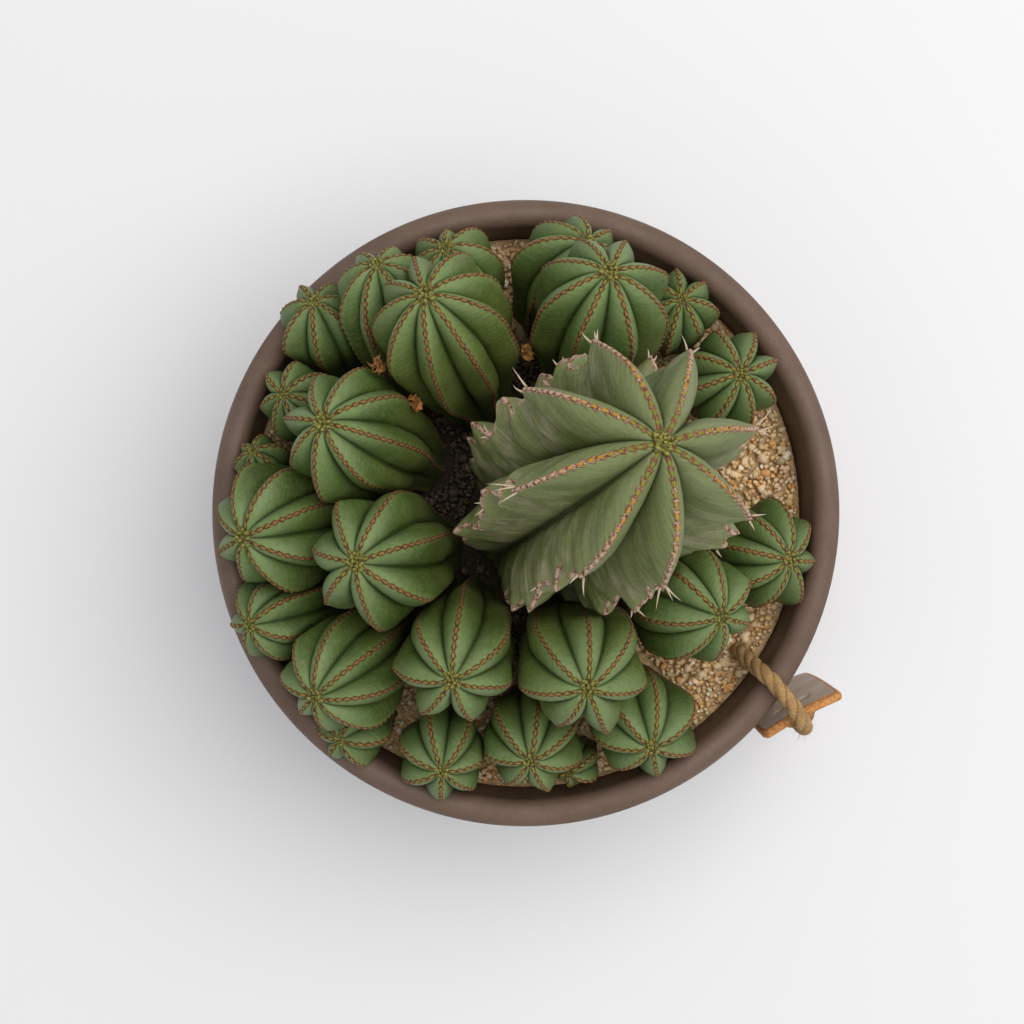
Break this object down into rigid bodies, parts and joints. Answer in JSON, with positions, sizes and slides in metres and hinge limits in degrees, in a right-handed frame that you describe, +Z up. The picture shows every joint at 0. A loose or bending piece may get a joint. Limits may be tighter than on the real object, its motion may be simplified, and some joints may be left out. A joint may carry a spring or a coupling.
{
  "type": "potted euphorbia",
  "caption": "Clump of ribbed succulent stems round a taller star-ribbed stem, in a stoneware bowl pot with gravel top dressing and a leather tag on twine.",
  "frame": {"origin": "centre of the pot's flat underside", "axes": "+Z up out of the pot; -Z is the outward normal of the underside; the tag hangs at bearing -36 degrees from +X"},
  "size_m": [0.1713, 0.17, 0.1889],
  "materials": {
    "stoneware": "matt, unglazed",
    "potting_mix": "dark peaty potting mix",
    "gravel": "loose dry grit",
    "mother_flesh": "pale, bloomed plant skin with corky rib edges",
    "offset_flesh": "plant skin, satin, faintly bloomed",
    "dried_flower": "dry and papery",
    "jute": "twisted, hairy twine",
    "leather": "undyed leather with a raw cut edge"
  },
  "bodies": {
    "root": {"pot": "stoneware", "potting_mix": "potting_mix", "gravel": "gravel", "mother_stem": "mother_flesh", "offset_01": "offset_flesh", "offset_02": "offset_flesh", "offset_03": "offset_flesh", "offset_04": "offset_flesh", "offset_05": "offset_flesh", "offset_06": "offset_flesh", "offset_07": "offset_flesh", "offset_08": "offset_flesh", "offset_09": "offset_flesh", "offset_10": "offset_flesh", "offset_11": "offset_flesh", "offset_12": "offset_flesh", "offset_13": "offset_flesh", "offset_14": "offset_flesh", "offset_15": "offset_flesh", "offset_16": "offset_flesh", "offset_17": "offset_flesh", "offset_18": "offset_flesh", "offset_19": "offset_flesh", "offset_20": "offset_flesh", "offset_21": "offset_flesh", "offset_22": "offset_flesh", "offset_23": "offset_flesh", "offset_24": "offset_flesh", "dried_flower_1": "dried_flower", "dried_flower_2": "dried_flower", "dried_flower_3": "dried_flower", "dried_flower_4": "dried_flower", "twine": "jute", "twine_knot": "jute", "tag": "leather"}
  },
  "joints": []
}
